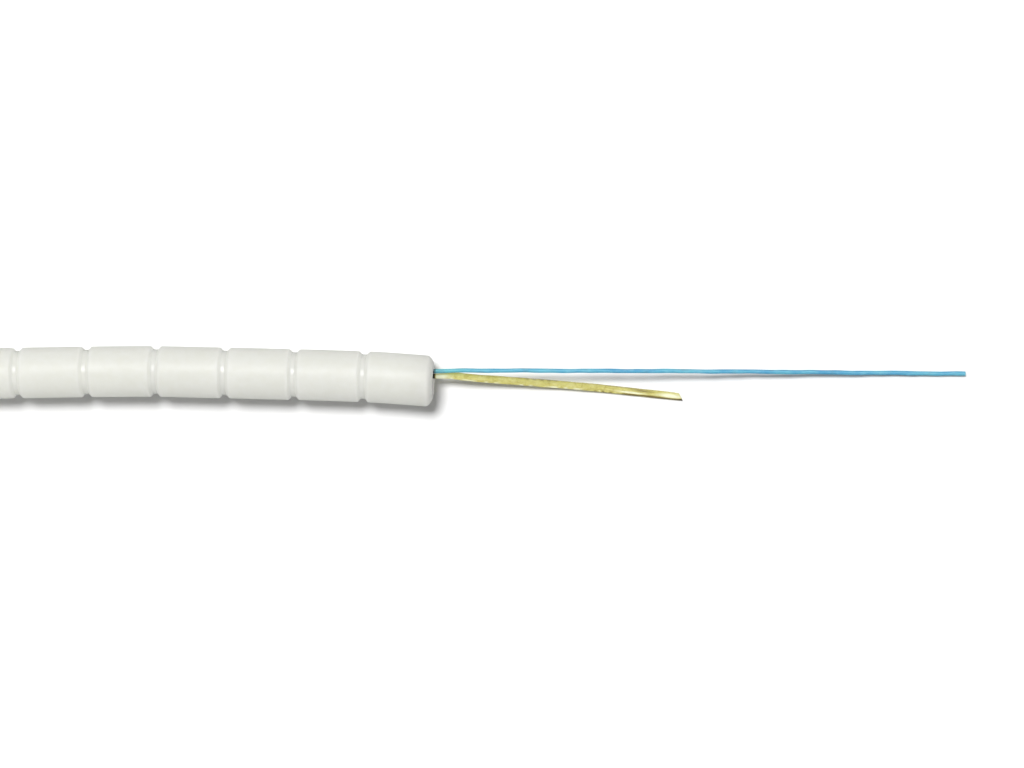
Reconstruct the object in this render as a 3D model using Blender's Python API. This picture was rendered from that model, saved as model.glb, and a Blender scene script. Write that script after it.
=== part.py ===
"""Fibre drop cable, 10 m: a ring-grooved jacket round a blue fibre and a strand of aramid yarn.

One end is stripped and lies out straight. The rest is wound into a round coil held by three straps.
Metres, +Z up. The origin is on the floor below the middle of the whole part.
"""

import math

import bmesh
import bpy
import numpy as np
from mathutils import Vector

MM = 0.001

# Jacket: a thick plastic tube with a groove round it every few millimetres
JACKET_DIAMETER = 4.8 * MM
BORE_DIAMETER = 2.5 * MM
GROOVE_PITCH = 6.58 * MM
GROOVE_DEPTH = 0.3 * MM
GROOVE_MOUTH = 0.95 * MM
GROOVE_FLOOR = 0.35 * MM
END_CHAMFER_LENGTH = 0.42 * MM
END_CHAMFER_DEPTH = 0.85 * MM

# Core: a buffered glass fibre and a flat strand of yarn
FIBRE_DIAMETER = 0.5 * MM
YARN_WIDTH = 0.76 * MM
YARN_THICKNESS = 0.3 * MM

# Coil: columns of turns side by side, each column several turns high
COIL_COLUMNS = 7
COIL_ROWS = 6
COIL_INNER_RADIUS = 23.3 * MM
TURN_SPACING = 4.9 * MM
CREST_HALF_WIDTH = 0.75 * MM
VALLEY_DEPTH = 1.0 * MM
COIL_STEPS = 44

# Straps: bands of hook-and-loop tape round the coil, each lapped on top
STRAP_COUNT = 3
STRAP_WIDTH = 10 * MM
STRAP_THICKNESS = 1.0 * MM
STRAP_LAP_LENGTH = 19 * MM

# Gaps between pieces that touch, outside the jacket and within its bore
TOUCH_GAP = 0.3 * MM
CORE_GAP = 0.1 * MM

# The jacket's straight stretch starts where this much of it stands clear of the coil
FIRST_SLICE = 1.0 * MM

# Flatness of round shapes
JACKET_BEVEL_RESOLUTION = 4
CORE_BEVEL_RESOLUTION = 2
OVAL_SIDES = 8
STRAP_CORNER_STEPS = 4
CUTTER_SIDES = 128

JACKET_RADIUS = JACKET_DIAMETER / 2
BORE_RADIUS = BORE_DIAMETER / 2
FIBRE_RADIUS = FIBRE_DIAMETER / 2
BORE_FLAT_RADIUS = BORE_RADIUS * math.cos(math.pi / (4 + 2 * JACKET_BEVEL_RESOLUTION))
COIL_OUTER_RADIUS = COIL_INNER_RADIUS + (COIL_COLUMNS - 1) * TURN_SPACING
COIL_REACH = COIL_OUTER_RADIUS + JACKET_RADIUS
COIL_HOLE_RADIUS = COIL_INNER_RADIUS - JACKET_RADIUS
FIRST_ROW_HEIGHT = STRAP_THICKNESS + TOUCH_GAP + JACKET_RADIUS
LAST_ROW_HEIGHT = FIRST_ROW_HEIGHT + (COIL_ROWS - 1) * TURN_SPACING
COIL_TOP = LAST_ROW_HEIGHT + JACKET_RADIUS

# Jacket from the coil to the stripped end, in millimetres along and across the floor, and as a
# share of the height that the coil's lowest turn stands above a turn lying on the floor
JACKET_ROUTE = (
    (-122.0, 0.30, 1.0),
    (-110.0, 0.33, 0.96),
    (-98.0, 0.42, 0.78),
    (-86.0, 0.55, 0.46),
    (-74.0, 0.70, 0.16),
    (-61.0, 0.87, 0.02),
    (-48.6, 1.02, 0.0),
    (-41.0, 1.14, 0.0),
    (-34.3, 1.19, 0.0),
    (-28.5, 1.08, 0.0),
    (-22.9, 0.95, 0.0),
    (-17.5, 0.81, 0.0),
    (-12.9, 0.64, 0.0),
    (-10.2, 0.46, 0.0),
    (-7.42, 0.24, 0.0),
)
COIL_CENTRE = Vector((JACKET_ROUTE[0][0] * MM, JACKET_ROUTE[0][1] * MM - COIL_OUTER_RADIUS, 0.0))

# Fibre beyond the jacket's mouth, in millimetres: it sinks slowly to the floor
FIBRE_ROUTE = (
    (-4.6, 1.26, 2.39),
    (-1.2, 1.30, 2.34),
    (3.0, 1.29, 2.23),
    (7.6, 1.27, 2.06),
    (12.4, 1.26, 1.83),
    (17.6, 1.23, 1.53),
    (22.4, 1.20, 1.21),
    (27.1, 1.16, 0.90),
    (31.8, 1.11, 0.61),
    (36.4, 1.07, 0.40),
    (39.6, 1.04, 0.31),
    (42.6, 1.01, 0.27),
)

# Yarn beyond the jacket's mouth, in millimetres: it is limp and soon lies on the floor
YARN_ROUTE = (
    (-6.0, 0.80, 1.80),
    (-3.1, 0.57, 1.46),
    (0.7, 0.28, 0.95),
    (4.4, 0.00, 0.54),
    (8.2, -0.33, 0.30),
    (12.0, -0.75, 0.20),
    (14.4, -1.00, 0.17),
    (15.8, -1.15, 0.17),
)

# Where the core lies in the bore, across and up from the jacket's middle line
FIBRE_ACROSS_AT_MOUTH = BORE_FLAT_RADIUS - FIBRE_RADIUS - CORE_GAP
FIBRE_ACROSS_INSIDE = 0.45 * MM
YARN_ACROSS = 0.5 * MM
YARN_DROP = 0.55 * MM
YARN_MOUTH_SCALE = 0.5
YARN_SPREADS_OVER = 5 * MM
CORE_HIDDEN_LENGTH = 25 * MM
CORE_SPACING = 1.25 * MM


def clear_scene():
    """Remove the objects that the file opened with."""
    for old in list(bpy.data.objects):
        bpy.data.objects.remove(old, do_unlink=True)


def make_material(name, colour, roughness, metallic=0.0):
    """Return a Principled material with these values."""
    material = bpy.data.materials.new(name)
    material.use_nodes = True
    shader = material.node_tree.nodes["Principled BSDF"]
    shader.inputs["Base Color"].default_value = (*colour, 1.0)
    shader.inputs["Roughness"].default_value = roughness
    shader.inputs["Metallic"].default_value = metallic
    return material


def link_object(name, data, material=None):
    """Add an object to the scene, with its material."""
    new = bpy.data.objects.new(name, data)
    bpy.context.scene.collection.objects.link(new)
    if material:
        data.materials.append(material)
    return new


def smooth_route(points, per_span=24):
    """Return many points on a smooth curve through the given ones (a centripetal Catmull-Rom)."""
    points = [Vector(point) for point in points]
    points = [2 * points[0] - points[1], *points, 2 * points[-1] - points[-2]]
    found = []
    for a, b, c, d in zip(points, points[1:], points[2:], points[3:]):
        t0 = 0.0
        t1 = t0 + (b - a).length ** 0.5
        t2 = t1 + (c - b).length ** 0.5
        t3 = t2 + (d - c).length ** 0.5
        for t in np.linspace(t1, t2, per_span, endpoint=False):
            ab = (t1 - t) / (t1 - t0) * a + (t - t0) / (t1 - t0) * b
            bc = (t2 - t) / (t2 - t1) * b + (t - t1) / (t2 - t1) * c
            cd = (t3 - t) / (t3 - t2) * c + (t - t2) / (t3 - t2) * d
            abc = (t2 - t) / (t2 - t0) * ab + (t - t0) / (t2 - t0) * bc
            bcd = (t3 - t) / (t3 - t1) * bc + (t - t1) / (t3 - t1) * cd
            found.append((t2 - t) / (t2 - t1) * abc + (t - t1) / (t2 - t1) * bcd)
    found.append(points[-2])
    return np.array(found)


def distances_along(route):
    """Return each point's distance from the route's start, measured along the route."""
    steps = np.linalg.norm(np.diff(route, axis=0), axis=1)
    return np.concatenate([[0.0], np.cumsum(steps)])


def points_at(route, stations):
    """Return the points that lie at these distances along the route."""
    along = distances_along(route)
    return np.stack([np.interp(stations, along, route[:, axis]) for axis in range(3)], axis=1)


def poly_tube(name, points, radius, bevel_resolution, scales=None, section=None):
    """Return a curve object: a tube along the points, round or with a section of its own."""
    curve = bpy.data.curves.new(name, "CURVE")
    curve.dimensions = "3D"
    curve.twist_mode = "Z_UP"
    curve.use_fill_caps = True
    if section:
        curve.bevel_mode = "OBJECT"
        curve.bevel_object = section
    else:
        curve.bevel_depth = radius
        curve.bevel_resolution = bevel_resolution
    spline = curve.splines.new("POLY")
    spline.points.add(len(points) - 1)
    scales = np.ones(len(points)) if scales is None else scales
    for spot, point, scale in zip(spline.points, points, scales):
        spot.co = (*point, 1.0)
        spot.radius = scale
    return link_object(name, curve)


def as_mesh_object(curve_object, name):
    """Replace a curve object by a mesh object of the same shape."""
    bpy.context.view_layer.update()
    graph = bpy.context.evaluated_depsgraph_get()
    mesh = bpy.data.meshes.new_from_object(curve_object.evaluated_get(graph))
    mesh.name = name
    bpy.data.objects.remove(curve_object, do_unlink=True)
    shape = bmesh.new()
    shape.from_mesh(mesh)
    bmesh.ops.remove_doubles(shape, verts=shape.verts, dist=1e-7)
    bmesh.ops.recalc_face_normals(shape, faces=shape.faces)
    shape.to_mesh(mesh)
    shape.free()
    return link_object(name, mesh)


def hide_cutter(cutter):
    """Mark a cutting shape as a helper."""
    cutter.hide_render = True
    cutter.display_type = "WIRE"


def cut_away(target, cutter):
    """Take the cutter's shape out of the target with a Boolean modifier."""
    hide_cutter(cutter)
    modifier = target.modifiers.new(f"cut by {cutter.name}", "BOOLEAN")
    modifier.operation = "DIFFERENCE"
    modifier.solver = "EXACT"
    modifier.object = cutter


def jacket_line():
    """Return the jacket's smooth route from the coil to the stripped end."""
    lifted = FIRST_ROW_HEIGHT - JACKET_RADIUS
    return smooth_route(
        [(x * MM, y * MM, JACKET_RADIUS + share * lifted) for x, y, share in JACKET_ROUTE]
    )


def jacket_profile(length):
    """Return distances along the jacket and its radius there: grooves, and a chamfer at the end."""
    start = math.sqrt((COIL_REACH + TOUCH_GAP + FIRST_SLICE) ** 2 - COIL_REACH**2)
    stations = [start]
    radii = [JACKET_RADIUS]
    for number in range(int((length - start - GROOVE_PITCH / 2) / GROOVE_PITCH), 0, -1):
        middle = length - number * GROOVE_PITCH
        stations += [middle - GROOVE_MOUTH / 2, middle - GROOVE_FLOOR / 2]
        stations += [middle + GROOVE_FLOOR / 2, middle + GROOVE_MOUTH / 2]
        radii += [JACKET_RADIUS, JACKET_RADIUS - GROOVE_DEPTH]
        radii += [JACKET_RADIUS - GROOVE_DEPTH, JACKET_RADIUS]
    stations += [length - END_CHAMFER_LENGTH, length]
    radii += [JACKET_RADIUS, JACKET_RADIUS - END_CHAMFER_DEPTH]
    return np.array(stations), np.array(radii)


def add_jacket_run(line):
    """Model the straight stretch: a grooved tube, bored through and shaped to the coil it leaves."""
    length = distances_along(line)[-1]
    stations, radii = jacket_profile(length)
    outside = poly_tube(
        "outside", points_at(line, stations), 1.0, JACKET_BEVEL_RESOLUTION, scales=radii
    )
    run = as_mesh_object(outside, "jacket_run")
    run.data.materials.append(make_material("jacket", (0.86, 0.86, 0.80), 0.55))

    past = line[-1] + (line[-1] - line[-2]) / np.linalg.norm(line[-1] - line[-2]) * JACKET_RADIUS
    bored = np.vstack([points_at(line, np.arange(0.0, length, GROOVE_PITCH)), line[-1], past])
    bore = as_mesh_object(
        poly_tube("hole", bored, BORE_RADIUS, JACKET_BEVEL_RESOLUTION), "bore_cutter"
    )
    cut_away(run, bore)

    bpy.ops.mesh.primitive_cylinder_add(
        vertices=CUTTER_SIDES,
        radius=(COIL_REACH + TOUCH_GAP) / math.cos(math.pi / CUTTER_SIDES),
        depth=4 * COIL_TOP,
        location=COIL_CENTRE,
    )
    envelope = bpy.context.object
    envelope.name = "coil_envelope_cutter"
    cut_away(run, envelope)
    return run, [bore, envelope]


def coil_outline():
    """Return the coil's section as radius and height: a flat-topped bump for each turn that shows."""
    sides = (
        ((COIL_OUTER_RADIUS, FIRST_ROW_HEIGHT), (0, 1), (1, 0), COIL_ROWS),
        ((COIL_OUTER_RADIUS, LAST_ROW_HEIGHT), (-1, 0), (0, 1), COIL_COLUMNS),
        ((COIL_INNER_RADIUS, LAST_ROW_HEIGHT), (0, -1), (-1, 0), COIL_ROWS),
        ((COIL_INNER_RADIUS, FIRST_ROW_HEIGHT), (1, 0), (0, -1), COIL_COLUMNS),
    )
    outline = []
    for first, step, out, count in sides:
        first, step, out = Vector(first), Vector(step), Vector(out)
        for number in range(count):
            middle = first + step * number * TURN_SPACING
            crest = middle + out * JACKET_RADIUS
            outline += [crest - step * CREST_HALF_WIDTH, crest + step * CREST_HALF_WIDTH]
            if number < count - 1:
                valley = middle + step * TURN_SPACING / 2 + out * (JACKET_RADIUS - VALLEY_DEPTH)
                outline.append(valley)
    return outline


def add_jacket_coil():
    """Model the wound stretch as one turned ring whose section shows the turns."""
    shape = bmesh.new()
    corners = [shape.verts.new((radius, 0.0, height)) for radius, height in coil_outline()]
    edges = [shape.edges.new(pair) for pair in zip(corners, corners[1:] + corners[:1])]
    bmesh.ops.spin(
        shape,
        geom=corners + edges,
        cent=(0, 0, 0),
        axis=(0, 0, 1),
        dvec=(0, 0, 0),
        angle=2 * math.pi,
        steps=COIL_STEPS,
    )
    bmesh.ops.remove_doubles(shape, verts=shape.verts, dist=1e-6)
    bmesh.ops.recalc_face_normals(shape, faces=shape.faces)
    mesh = bpy.data.meshes.new("jacket_coil")
    shape.to_mesh(mesh)
    shape.free()
    coil = link_object("jacket_coil", mesh, bpy.data.materials["jacket"])
    coil.location = COIL_CENTRE
    return coil


def inside_jacket(line, across, up):
    """Return points along the last stretch in the bore, moved off its middle line."""
    length = distances_along(line)[-1]
    hidden = np.linspace(length - CORE_HIDDEN_LENGTH, length, len(across))
    return points_at(line, hidden) + np.stack([0 * across, across, up], axis=1)


def add_fibre(line):
    """Model the buffered fibre: in the bore, against its wall at the mouth, then out to its tip."""
    across = np.linspace(FIBRE_ACROSS_INSIDE, FIBRE_ACROSS_AT_MOUTH, 4)
    hidden = inside_jacket(line, across, np.zeros(4))
    route = smooth_route([*hidden, *(np.array(FIBRE_ROUTE) * MM)])
    length = distances_along(route)[-1]
    stations = np.linspace(0.0, length, round(length / CORE_SPACING))
    fibre = poly_tube("fibre", points_at(route, stations), FIBRE_RADIUS, CORE_BEVEL_RESOLUTION)
    fibre.data.materials.append(make_material("fibre_buffer", (0.17, 0.52, 0.70), 0.4))
    return fibre


def add_yarn(line):
    """Model the yarn as a flat strand: narrow in the bore, spread out beyond the mouth."""
    oval = bpy.data.curves.new("oval", "CURVE")
    oval.dimensions = "2D"
    outline = oval.splines.new("POLY")
    outline.points.add(OVAL_SIDES - 1)
    outline.use_cyclic_u = True
    for number, point in enumerate(outline.points):
        turn = -2 * math.pi * (number + 0.5) / OVAL_SIDES
        across = math.cos(turn) * YARN_WIDTH / 2
        point.co = (across, math.sin(turn) * YARN_THICKNESS / 2, 0.0, 1.0)
    section = link_object("yarn_section", oval)
    hide_cutter(section)

    hidden = inside_jacket(line, np.full(4, YARN_ACROSS), np.full(4, -YARN_DROP))
    route = smooth_route([*hidden, *(np.array(YARN_ROUTE) * MM)])
    length = distances_along(route)[-1]
    stations = np.linspace(0.0, length, round(length / CORE_SPACING))
    spread = np.clip((stations - CORE_HIDDEN_LENGTH) / YARN_SPREADS_OVER, 0.0, 1.0)
    scales = YARN_MOUTH_SCALE + (1 - YARN_MOUTH_SCALE) * spread
    yarn = poly_tube("aramid_yarn", points_at(route, stations), 0, 0, scales, section)
    yarn.data.materials.append(make_material("aramid", (0.70, 0.62, 0.25), 0.45))
    return yarn, section


def rounded_rectangle(low, high, corner):
    """Return the outline of a rectangle with round corners, anticlockwise from its lower right."""
    middles = (
        (high[0] - corner, low[1] + corner),
        (high[0] - corner, high[1] - corner),
        (low[0] + corner, high[1] - corner),
        (low[0] + corner, low[1] + corner),
    )
    outline = []
    for quarter, (x, y) in enumerate(middles):
        for step in range(STRAP_CORNER_STEPS + 1):
            turn = math.radians(90 * (quarter - 1 + step / STRAP_CORNER_STEPS))
            outline.append((x + corner * math.cos(turn), y + corner * math.sin(turn)))
    return outline


def strap_outlines():
    """Return the strap's outer and inner outlines, as distance from the coil's axis and height."""
    half = STRAP_WIDTH / 2
    low = (math.sqrt(COIL_HOLE_RADIUS**2 - half**2) - TOUCH_GAP, STRAP_THICKNESS)
    high = (COIL_REACH + TOUCH_GAP, COIL_TOP + TOUCH_GAP)
    corner = JACKET_RADIUS + TOUCH_GAP
    inner = rounded_rectangle(low, high, corner)
    outer = rounded_rectangle(
        (low[0] - STRAP_THICKNESS, 0.0),
        (high[0] + STRAP_THICKNESS, high[1] + STRAP_THICKNESS),
        corner + STRAP_THICKNESS,
    )
    middle = (low[0] + high[0]) / 2
    top = high[1] + STRAP_THICKNESS
    lap = [(middle + STRAP_LAP_LENGTH / 2, top), (middle + STRAP_LAP_LENGTH / 2, top + STRAP_THICKNESS)]
    lap += [(middle - STRAP_LAP_LENGTH / 2, top + STRAP_THICKNESS), (middle - STRAP_LAP_LENGTH / 2, top)]
    after_top_right = 2 * (STRAP_CORNER_STEPS + 1)
    return outer[:after_top_right] + lap + outer[after_top_right:], inner


def add_straps():
    """Model the straps, evenly round the coil, the first on the side of the stripped end."""
    curve = bpy.data.curves.new("strap", "CURVE")
    curve.dimensions = "2D"
    curve.fill_mode = "BOTH"
    curve.extrude = STRAP_WIDTH / 2
    for outline in strap_outlines():
        spline = curve.splines.new("POLY")
        spline.points.add(len(outline) - 1)
        spline.use_cyclic_u = True
        for point, (x, y) in zip(spline.points, outline):
            point.co = (x, y, 0.0, 1.0)
    curve.materials.append(make_material("strap", (0.03, 0.03, 0.035), 0.9))
    straps = []
    for number in range(STRAP_COUNT):
        strap = link_object(f"coil_strap_{number + 1}", curve)
        strap.location = COIL_CENTRE
        strap.rotation_euler = (math.pi / 2, 0.0, 2 * math.pi * number / STRAP_COUNT)
        straps.append(strap)
    return straps


def corners_of(parts):
    """Return the lowest and highest corner of these objects, as they stand in the scene."""
    bpy.context.view_layer.update()
    graph = bpy.context.evaluated_depsgraph_get()
    found = []
    for part in parts:
        evaluated = part.evaluated_get(graph)
        mesh = evaluated.to_mesh()
        points = np.empty(3 * len(mesh.vertices), np.float32)
        mesh.vertices.foreach_get("co", points)
        evaluated.to_mesh_clear()
        matrix = np.array(part.matrix_world)
        found.append(points.reshape(-1, 3) @ matrix[:3, :3].T + matrix[:3, 3])
    found = np.vstack(found)
    return found.min(axis=0), found.max(axis=0)


def stand_at_origin(parts, helpers):
    """Hang everything on one empty and move it, so that the origin is below the middle."""
    low, high = corners_of(parts)
    whole = link_object("drop_cable", None)
    for member in parts + helpers:
        member.parent = whole
    whole.location = (-(low[0] + high[0]) / 2, -(low[1] + high[1]) / 2, -low[2])


def shade_round(parts):
    """Shade the meshes smooth, apart from their sharp edges."""
    for part in parts:
        if part.type == "MESH":
            part.data.shade_smooth()
            part.data.set_sharp_from_angle(angle=math.radians(35))


clear_scene()
middle_line = jacket_line()
jacket_run, cutters = add_jacket_run(middle_line)
jacket_coil = add_jacket_coil()
blue_fibre = add_fibre(middle_line)
strand, strand_section = add_yarn(middle_line)
pieces = [jacket_run, jacket_coil, blue_fibre, strand, *add_straps()]
shade_round([jacket_run, jacket_coil])
stand_at_origin(pieces, [*cutters, strand_section])
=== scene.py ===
"""The looks of a fibre drop cable: a grooved off-white jacket round a blue fibre and golden yarn.

The stripped end lies out straight, and the rest of the ten metres is wound in a strapped coil.
Metres, +Z up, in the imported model's frame: the origin is on the floor below the middle of the cable.
"""

import bpy
import numpy as np
from mathutils import Matrix, Vector


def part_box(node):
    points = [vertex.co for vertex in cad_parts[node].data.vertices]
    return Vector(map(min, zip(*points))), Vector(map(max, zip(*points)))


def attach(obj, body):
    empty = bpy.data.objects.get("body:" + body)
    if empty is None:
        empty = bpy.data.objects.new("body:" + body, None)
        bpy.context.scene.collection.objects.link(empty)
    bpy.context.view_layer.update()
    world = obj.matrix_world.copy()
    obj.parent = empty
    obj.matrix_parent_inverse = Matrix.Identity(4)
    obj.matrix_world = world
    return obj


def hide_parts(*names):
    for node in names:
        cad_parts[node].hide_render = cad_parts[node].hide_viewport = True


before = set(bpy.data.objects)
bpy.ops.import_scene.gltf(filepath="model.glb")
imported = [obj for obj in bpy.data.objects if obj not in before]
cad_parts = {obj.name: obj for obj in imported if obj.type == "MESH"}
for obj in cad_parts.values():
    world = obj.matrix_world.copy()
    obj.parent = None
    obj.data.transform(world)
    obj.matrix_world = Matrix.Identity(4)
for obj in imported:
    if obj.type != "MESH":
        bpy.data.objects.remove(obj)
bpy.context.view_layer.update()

# Camera
# It looks almost straight down on the stripped end from a third of a metre, with +Y towards the
# picture's upper edge. The coil lies just past the left edge, and none of it shows.
MM = 0.001
VIEW_MIDDLE_FROM_COIL = Vector((122.0, 52.4, 0.0)) * MM
CAMERA_FROM_VIEW_MIDDLE = Vector((16.26, 0.0, 317.4)) * MM
LOOKS_AT_HEIGHT = 2.4 * MM
LENS_MM = 117.85
SENSOR_WIDTH_MM = 36.0

coil_low, coil_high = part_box("jacket_coil")
coil_axis = Vector(((coil_low.x + coil_high.x) / 2, (coil_low.y + coil_high.y) / 2, 0.0))
view_middle = coil_axis + VIEW_MIDDLE_FROM_COIL
camera_place = view_middle + CAMERA_FROM_VIEW_MIDDLE
looks_along = (view_middle + Vector((0.0, 0.0, LOOKS_AT_HEIGHT)) - camera_place).normalized()
to_the_right = looks_along.cross(Vector((0.0, 1.0, 0.0))).normalized()
picture_up = to_the_right.cross(looks_along)

camera_data = bpy.data.cameras.new("camera")
camera_data.lens = LENS_MM
camera_data.sensor_width = SENSOR_WIDTH_MM
camera_data.sensor_fit = "HORIZONTAL"
camera_data.clip_start = 0.01
camera_data.clip_end = 50.0
camera = bpy.data.objects.new("camera", camera_data)
bpy.context.scene.collection.objects.link(camera)
turned = Matrix((to_the_right, picture_up, -looks_along)).transposed()
camera.matrix_world = Matrix.Translation(camera_place) @ turned.to_4x4()
bpy.context.scene.camera = camera

# Jacket
# One extruded tube of off-white plastic, ten metres long, with a smooth groove rolled round it
# every few millimetres. It starts at its far end under a strap, goes round column by column,
# leaves the coil's lowest outer turn and runs straight to the stripped end, which is bevelled.
JACKET_RADIUS = 2.4 * MM
BORE_RADIUS = 1.25 * MM
GROOVE_PITCH = 6.58 * MM
GROOVE_DEPTH = 0.3 * MM
GROOVE_HALF_MOUTH = 0.56 * MM
GROOVE_HALF_FLOOR = 0.15 * MM
BEVEL_LENGTH = 0.62 * MM
BEVEL_DEPTH = 0.85 * MM
CUT_SLANT = 0.03
CUT_SLANT_REACH = (0.4 * MM, 0.9 * MM)
CUT_DARKENING_LENGTH = 3.4 * MM
COIL_GROOVE_HALF_MOUTH = 0.475 * MM
COIL_GROOVE_HALF_FLOOR = 0.16 * MM
BORE_SHOWN_LENGTH = 27 * MM
FREE_END_BORE = 4 * MM
COLUMNS = 7
ROWS = 6
STEP_UP_LENGTH = 36 * MM
STEP_OUT_LENGTH = 48 * MM
STEP_LEAD = 0.34
STARTS_EARLY = 0.13
LEAVES_EARLY = 0.20
LINE_STEP = 0.5 * MM
RUN_SIDES = 48
COIL_SIDES = 16

# Route from the coil to the stripped end, in millimetres from the view's middle, and the share
# of the lowest turn's height above a turn on the floor
JACKET_ROUTE = np.array([
    (-122.0, 0.30, 1.0),
    (-110.0, 0.33, 0.96),
    (-98.0, 0.42, 0.78),
    (-86.0, 0.55, 0.46),
    (-74.0, 0.70, 0.16),
    (-61.0, 0.87, 0.02),
    (-48.6, 1.02, 0.0),
    (-41.0, 1.14, 0.0),
    (-34.3, 1.19, 0.0),
    (-28.5, 1.08, 0.0),
    (-22.9, 0.95, 0.0),
    (-17.5, 0.81, 0.0),
    (-12.9, 0.64, 0.0),
    (-10.2, 0.46, 0.0),
    (-7.42, 0.24, 0.0),
])

first_row_height = coil_low.z + JACKET_RADIUS
last_row_height = coil_high.z - JACKET_RADIUS
turn_spacing = (last_row_height - first_row_height) / (ROWS - 1)
outer_turn_radius = (coil_high.x - coil_low.x) / 2 - JACKET_RADIUS
inner_turn_radius = outer_turn_radius - (COLUMNS - 1) * turn_spacing


def smooth_route(points, per_span=24):
    """Return points on a centripetal Catmull-Rom curve through the given ones.

    The knots are spaced by the square root of the distance between points, the two ends are
    mirrored, and each span is three rounds of straight blending between its four nearest points.
    """
    points = np.vstack([2 * points[0] - points[1], points, 2 * points[-1] - points[-2]])
    gaps = np.sqrt(np.linalg.norm(np.diff(points, axis=0), axis=1))
    knots = np.concatenate([[0.0], np.cumsum(gaps)])
    span = np.repeat(np.arange(1, len(points) - 2), per_span)
    share = np.tile(np.arange(per_span) / per_span, len(points) - 3)
    place = knots[span] + share * gaps[span]

    def blend(low, high, first, last):
        """Mix low and high by where the place lies between the first and the last knot."""
        weight = (place - knots[span + first]) / (knots[span + last] - knots[span + first])
        return low + weight[:, None] * (high - low)

    near, far = points[span], points[span + 1]
    rising = blend(points[span - 1], near, -1, 0)
    middle = blend(near, far, 0, 1)
    falling = blend(far, points[span + 2], 1, 2)
    curve = blend(blend(rising, middle, -1, 1), blend(middle, falling, 0, 2), 0, 1)
    return np.vstack([curve, points[-2]])


def distances_along(line):
    """Return each point's distance from the line's start: the running sum of its steps."""
    return np.concatenate([[0.0], np.cumsum(np.linalg.norm(np.diff(line, axis=0), axis=1))])


def points_at(line, stations):
    """Return the points at these distances along the line, between its points in proportion."""
    along = distances_along(line)
    return np.stack([np.interp(stations, along, line[:, axis]) for axis in range(3)], axis=1)


def ease(share):
    """Go from 0 to 1 with level ends: three times the square less twice the cube."""
    share = np.clip(share, 0.0, 1.0)
    return share * share * (3 - 2 * share)


def wound_line():
    """Return the middle line of the coil's turns, and each point's column and row.

    Radius is the inner turn's plus the column times the spacing, and height the first row's plus
    the row times the spacing. The row eases by one each turn, down one column and up the next,
    and the column eases by one every six turns. Each column steps a little earlier than the one
    inside it, so that no two turns meet where they cross from row to row. The last turn leaves
    the coil a fifth of a radian before the one above it steps down, and so is out of its way.
    """
    radius = inner_turn_radius + turn_spacing * np.arange(COLUMNS)
    row_step = STEP_UP_LENGTH / radius
    column_step = STEP_OUT_LENGTH / (radius[:-1] + turn_spacing / 2)
    row_start = np.zeros(COLUMNS)
    column_start = np.zeros(COLUMNS - 1)
    for column in range(COLUMNS - 1):
        middle = row_start[column] + row_step[column] / 2
        middle -= STEP_LEAD * (row_step[column] + column_step[column]) / 2
        column_start[column] = middle - column_step[column] / 2
        middle -= STEP_LEAD * (row_step[column + 1] + column_step[column]) / 2
        row_start[column + 1] = middle - row_step[column + 1] / 2

    one_turn = 2 * np.pi
    first = row_start[0] + row_step[0] - STARTS_EARLY
    last = row_start[-1] + one_turn * COLUMNS * ROWS - LEAVES_EARLY
    angle = np.linspace(first, last, round((last - first) * outer_turn_radius / LINE_STEP))
    column = np.zeros_like(angle)
    row = np.full_like(angle, ROWS - 1.0)
    for number in range(COLUMNS):
        before = one_turn * ROWS * number
        rises = number % 2 * 2 - 1
        for turn in range(1, ROWS):
            start = row_start[number] + before + one_turn * turn
            row += rises * ease((angle - start) / row_step[number])
        if number < COLUMNS - 1:
            start = column_start[number] + before + one_turn * ROWS
            column += ease((angle - start) / column_step[number])
    radius = inner_turn_radius + turn_spacing * column
    height = first_row_height + turn_spacing * row
    heading = np.pi / 2 + last - angle
    line = np.stack([radius * np.cos(heading), radius * np.sin(heading), height], axis=1)
    return line + np.array(coil_axis), column, row


def unit(vectors):
    """Return the vectors at length one: each over the root of the sum of its squares."""
    return vectors / np.linalg.norm(vectors, axis=-1, keepdims=True)


def frames_along(line, stations):
    """Return a tube's middle at these distances, and its side, upward and forward directions.

    Forward is the step between two points 1 mm either way. Upward is +Z less its part along the
    line, at length one, and the side is upward crossed with forward.
    """
    reach = 1.0 * MM
    middle = points_at(line, stations)
    forward = unit(points_at(line, stations + reach) - points_at(line, stations - reach))
    upward = unit(np.array([0.0, 0.0, 1.0]) - forward[:, 2:] * forward)
    return middle, np.cross(upward, forward), upward, forward


def rings_along(line, stations, radii, sides):
    """Return rings of points: middle plus radius times (cosine times side, sine times upward)."""
    middle, side, upward, _ = frames_along(line, stations)
    turn = np.linspace(0.0, 2 * np.pi, sides, endpoint=False)[None, :, None]
    offset = np.cos(turn) * side[:, None] + np.sin(turn) * upward[:, None]
    return middle[:, None] + np.asarray(radii)[:, None, None] * offset


def ring_faces(rings, sides, first=0):
    """Return the four-sided faces between rings of points that are numbered ring after ring."""
    start = first + sides * np.arange(rings - 1)[:, None]
    this = np.arange(sides)[None, :]
    following = (this + 1) % sides
    corners = (start + this, start + following, start + sides + following, start + sides + this)
    return np.stack(corners, axis=-1).reshape(-1, 4)


def fan_faces(pole, first, sides, pole_leads):
    """Return the three-sided faces that close a ring on one point, before or behind the ring."""
    this = first + np.arange(sides)
    following = first + (np.arange(sides) + 1) % sides
    poles = np.full(sides, pole)
    order = (poles, following, this) if pole_leads else (poles, this, following)
    return np.stack(order, axis=-1)


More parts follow.
